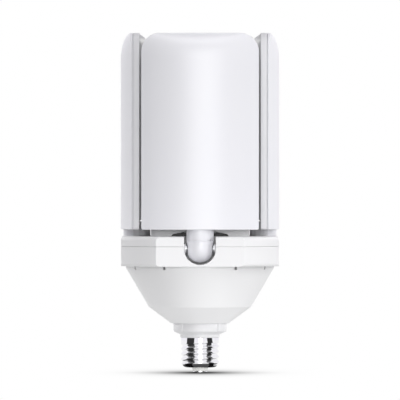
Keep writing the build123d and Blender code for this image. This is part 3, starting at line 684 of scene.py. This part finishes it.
THREAD_PITCH = 3.63 * MM
THREAD_DEPTH = 0.9 * MM
THREAD_TOP = 12.6 * MM
BAND_START = 13.5 * MM
LIP_R = 9.0 * MM
SHELL_WALL = 0.4 * MM

TURN_STEPS = 144
THREAD_ROWS = 96
LIP_ROWS = 13
# degrees of the foot's rounding where its own rows end and the thread's rows start
LIP_END = 78
THREAD_START = 82


def thread_radius(turn, height):
    """The rolled thread: rounded crests that climb to the right, below a plain band."""
    phase = (height / THREAD_PITCH - turn / math.tau) % 1.0
    wave = eased(0.5 + 0.5 * math.cos(math.tau * phase))
    band = eased(min(1.0, max(0.0, (height - THREAD_TOP) / (BAND_START - THREAD_TOP))))
    return CREST_R - THREAD_DEPTH + THREAD_DEPTH * max(wave, band)


def foot_radius(height):
    """The rounded foot that is drawn in to the lip."""
    if height >= 0:
        return CREST_R
    down = min(1.0, height / LIP_Z)
    return LIP_R + (CREST_R - LIP_R) * math.sqrt(max(0.0, 1 - down**2))


def screw_shell():
    """One wall: up the thread outside, over the rim, down inside, and in to the lip."""
    skin = Skin()
    turns = [math.tau * i / TURN_STEPS for i in range(TURN_STEPS)]
    foot = [LIP_Z * math.cos(math.radians(a)) for a in steps(0, LIP_END, LIP_ROWS)]
    thread = steps(LIP_Z * math.cos(math.radians(THREAD_START)), BAND_START, THREAD_ROWS)
    heights = foot + thread + [SHELL_TOP - SHELL_WALL / 2]
    inside = LIP_Z + SHELL_WALL

    def ring(height, inset):
        points = []
        for turn in turns:
            radius = min(foot_radius(height), thread_radius(turn, height)) - inset
            points.append((radius * math.cos(turn), radius * math.sin(turn), height))
        return skin.row(points)

    def plain(radius, height):
        return skin.row([(radius * math.cos(turn), radius * math.sin(turn), height) for turn in turns])

    outer = [ring(height, 0) for height in heights]
    rim = [plain(CREST_R - SHELL_WALL / 4, SHELL_TOP), plain(CREST_R - 3 * SHELL_WALL / 4, SHELL_TOP)]
    inner = [ring(height, SHELL_WALL) for height in reversed(heights) if height > inside]
    inner.append(ring(inside, SHELL_WALL))
    lip = [plain(LIP_R - SHELL_WALL, inside), plain(LIP_R - SHELL_WALL, LIP_Z)]
    skin.rings(outer + rim + inner + lip + [outer[0]])
    place_piece(skin.piece("rolled_shell"), "base", "chromed_shell", "screw_shell")


# ---------------------------------------------------------------- mouldings with softened edges

COLLAR_EDGE = 0.25 * MM
BUTTON_EDGE = 0.2 * MM
LENS_EDGE = 0.3 * MM
RIM_EDGE = 0.2 * MM

LID_GROOVE_HEIGHT = 0.24 * MM
LID_GROOVE_DEPTH = 0.8 * MM
# the lid's outer wall lies past these, on its corners and on its flats
LID_CORNER_REACH = 58.0 * MM
LID_FLAT_REACH = 53.5 * MM

RIM_GROOVE_HEIGHT = 0.8 * MM
RIM_GROOVE_DEPTH = 1.1 * MM
RIM_OUTLINE_PLAY = 0.1 * MM


def softened(name, node, body, width, finish=None):
    """A moulding of the frame with its moulded edge radius."""
    place_piece(soften(from_node(name, node), width), body, SLOTS[node], node, finish=finish)


def grooved_lid():
    """The lid, with its lower rim relieved so that a shadow line shows where it meets the housing."""

    def relieve(net):
        mark_plane(net, (0, 0, PARTING_Z + LID_GROOVE_HEIGHT), (0, 0, 1))
        for point in net.verts:
            reach = math.hypot(point.co.x, point.co.y)
            outside = reach > LID_CORNER_REACH or max(abs(point.co.x), abs(point.co.y)) > LID_FLAT_REACH
            if outside and abs(point.co.z - PARTING_Z) < NEAR:
                point.co.x *= 1 - LID_GROOVE_DEPTH / reach
                point.co.y *= 1 - LID_GROOVE_DEPTH / reach
        bmesh.ops.dissolve_degenerate(net, dist=NEAR, edges=net.edges)

    lid = from_node("housing_lid", "deck_lid")
    edit_mesh(lid.data, relieve)
    shade_smooth(lid.data)
    lid.data.set_sharp_from_angle(angle=SHARP_ANGLE)
    place_piece(lid, "base", "housing_white", "deck_lid")


def rim_frame(side):
    """A leaf's rim, with its outer edge relieved so that a shadow line shows under the cover."""
    middle = LEAF_HALF - LEAF_CORNER

    def relieve(net):
        mark_plane(net, (0, RIM_GROOVE_HEIGHT - SEAM_REACH, 0), (0, 1, 0))
        for point in net.verts:
            x, y, z = point.co
            centre = Vector((max(-middle, min(middle, x)), y, min(z, LEAF_TOP - LEAF_CORNER)))
            arm = point.co - centre
            if arm.length > LEAF_CORNER - RIM_OUTLINE_PLAY and y < NEAR - SEAM_REACH:
                point.co = centre + arm * (1 - RIM_GROOVE_DEPTH / arm.length)

    rim = from_node(f"{side}_rim_frame", f"{side}_frame")
    to_front = Matrix.Rotation(math.radians(-SIDES[side]), 4, "Z")
    rim.data.transform(to_front)
    edit_mesh(rim.data, relieve)
    rim.data.transform(to_front.inverted())
    # the rim takes a darkened white, as painted shade in the slits between the leaves
    place_piece(soften(rim, RIM_EDGE), f"leaf_{side}", "leaf_white", f"{side}_frame", finish="rim_white")


def soften_mouldings():
    grooved_lid()
    # the collar takes a darkened white, as painted shade under the housing
    softened("neck_collar", "cap_collar", "base", COLLAR_EDGE, finish="neck_white")
    softened("nose_insulator", "cap_insulator", "base", COLLAR_EDGE)
    softened("contact_button", "centre_contact", "base", BUTTON_EDGE)
    for side in SIDES:
        rim_frame(side)
        softened(f"{side}_lens", f"{side}_diffuser", f"leaf_{side}", LENS_EDGE)
        softened(f"{side}_ball_cover", f"{side}_knuckle_cover", f"leaf_{side}", COLLAR_EDGE)


# ---------------------------------------------------------------- dark glands, painted shade in the wire gates

SHADE_GLAND_EDGE = 0.2 * MM
PLUG_REACH = 33.0 * MM
BOSS_INNER = 31.5 * MM
FLANGE_REACH = 29.6 * MM
FLANGE_HALF = 21.2 * MM
FLANGE_LOW = 0.06 * MM
FLANGE_HIGH = 2.1 * MM
# (across, above the deck) corners of a plug in a gate, and of the flange behind the boss's wall
PLUG_OUTLINE = [(11.2 * MM, 0.12 * MM), (19.3 * MM, 0.12 * MM), (18.5 * MM, 1.2 * MM), (11.2 * MM, 2.8 * MM)]
FLANGE_OUTLINE = [(-FLANGE_HALF, FLANGE_LOW), (FLANGE_HALF, FLANGE_LOW),
                  (FLANGE_HALF, FLANGE_HIGH), (-FLANGE_HALF, FLANGE_HIGH)]


def shade_gland(side):
    """A black strip behind the boss's wall, with a plug in each of the two gates beside a knuckle: a dark thing
    put there as painted shade, so that the gates look dark.
    """
    skin = Skin()
    for outline, near, far, hands in (
        (PLUG_OUTLINE, PLUG_REACH, BOSS_INNER, (-1, 1)),
        (FLANGE_OUTLINE, BOSS_INNER, FLANGE_REACH, (1,)),
    ):
        for hand in hands:
            ends = [skin.row([(hand * x, -reach, DECK_Z + z) for x, z in outline]) for reach in (near, far)]
            skin.rings(ends)
            for end in ends:
                skin.cap(end)
    # painted shade: a dark strip and plugs in the gates beside the knuckle
    blocker = soften(skin.piece(f"{side}_shade_gland", SIDES[side]), SHADE_GLAND_EDGE, segments=3)
    place_piece(blocker, "base", "black_epoxy")


# ---------------------------------------------------------------- floor and surroundings

FLOOR_HALF = 3.0
# painted pool of light on the floor, seen only by rays that are neither camera nor mirror rays, so that the lamp
# is lit from below
FLOOR_LEVEL = 1.05
LIGHT_POOL_SIZE = 0.2
LIGHT_POOL_AHEAD = 0.11

# painted shadow round the tip: a soft spot, stretched front to back, times the lamp's real occlusion of the floor
SHADOW_SPOT_SIZE = 25 * MM
SHADOW_SPOT_STRETCH = 2.4
SHADOW_SPOT_POWER = 1.5
SHADOW_SPOT_DEPTH = 0.95
SHADOW_REACH = 70 * MM
SHADOW_SAMPLES = 32
OPEN_SHARE = 0.85

MIRROR_LEVEL = 0.95
FLAG_DEPTH = 0.96
FLAG_SOFT = math.radians(3)
LEFT_FLAG = (math.radians(-86), math.radians(-37))
RIGHT_FLAG = (math.radians(46), math.radians(79))
# painted shade on the floor that only mirrors see, near the tip, up to these distances from it
MIRRORED_SHADE_REACH = (17 * MM, 30 * MM)
MIRRORED_SHADE_DEPTH = 0.92

SOFT_LEVEL = 0.35
SOFT_TINT = (0.975, 0.965, 1.0, 1)
WHITE = (1, 1, 1, 1)


def radius_at(x, y):
    return (x**2 + y**2) ** 0.5


def mirror_level(x, y):
    """What mirrors see in the direction x, y: a white room with two dark upright flags."""
    azimuth = x.shader.maths("ARCTAN2", x, -y)
    flags = azimuth.band(*LEFT_FLAG, FLAG_SOFT) + azimuth.band(*RIGHT_FLAG, FLAG_SOFT)
    return MIRROR_LEVEL * (1 - FLAG_DEPTH * flags)


def set_stage():
    """A white floor with a painted shadow where the lamp stands over it, darkest round its tip, a painted pool of
    light round its foot that lights it from below, and clear from below.
    """
    made, shader = material("pale_floor")
    x, y, z = shader.place()
    # painted shadow seen by the camera: the spot times the occlusion
    shadow_spot = (radius_at(x, y / SHADOW_SPOT_STRETCH) / SHADOW_SPOT_SIZE) ** SHADOW_SPOT_POWER
    open_share = shader.node("ShaderNodeAmbientOcclusion", {"samples": SHADOW_SAMPLES},
                             {"Distance": SHADOW_REACH})["AO"]
    painted_shadow_level = (1 - SHADOW_SPOT_DEPTH * shadow_spot.fade()) * open_share.ramp(0.0, OPEN_SHARE)
    # painted shade in mirrors near the tip
    mirrored_shade = 1 - MIRRORED_SHADE_DEPTH * (1 - radius_at(x, y).ramp(*MIRRORED_SHADE_REACH))
    # painted pool of light that lights the lamp from below
    light_pool = ((radius_at(x, y + LIGHT_POOL_AHEAD) / LIGHT_POOL_SIZE) ** 2).fade()
    rays = shader.node("ShaderNodeLightPath")
    camera, glossy = rays["Is Camera Ray"], rays["Is Glossy Ray"]
    level = painted_shadow_level * camera + glossy * mirrored_shade * mirror_level(x, y) + (1 - camera - glossy) * light_pool * FLOOR_LEVEL
    glow = shader.node("ShaderNodeEmission", None, {"Color": level, "Strength": 1.0})[0]
    clear = shader.node("ShaderNodeBsdfTransparent")[0]
    below = shader.node("ShaderNodeNewGeometry")["Backfacing"]
    surface = shader.node("ShaderNodeMixShader", None, {"Fac": below, 1: glow, 2: clear})[0]
    shader.node("ShaderNodeOutputMaterial", None, {"Surface": surface})

    data = bpy.data.meshes.new("floor")
    corners = [(x * FLOOR_HALF, y * FLOOR_HALF, TIP_Z) for x, y in ((-1, -1), (1, -1), (1, 1), (-1, 1))]
    data.from_pydata(corners, [], [(0, 1, 2, 3)])
    data.materials.append(made)
    make_object("floor", data)


def light_world():
    """Soft light from all round, and a white room with two dark flags for mirrors."""
    world = bpy.data.worlds.new("studio")
    bpy.context.scene.world = world
    world.use_nodes = True
    shader = Shader(world.node_tree)
    rays = shader.node("ShaderNodeLightPath")
    camera, glossy = rays["Is Camera Ray"], rays["Is Glossy Ray"]
    x, y, z = shader.place("Generated")
    level = camera + glossy * mirror_level(x, y) + (1 - camera - glossy) * SOFT_LEVEL
    tint = shader.blend(camera, SOFT_TINT, WHITE)
    glow = shader.node("ShaderNodeBackground", None, {"Color": tint, "Strength": level})[0]
    shader.node("ShaderNodeOutputWorld", None, {"Surface": glow})


# ---------------------------------------------------------------- the whole picture

bpy.context.scene.view_settings.view_transform = "Standard"
stand_camera()
light_world()
light_lamps()
set_stage()
dress_frame()

screw_shell()
soften_mouldings()
for side in SIDES:
    leaf_cover(side)
    shade_gland(side)
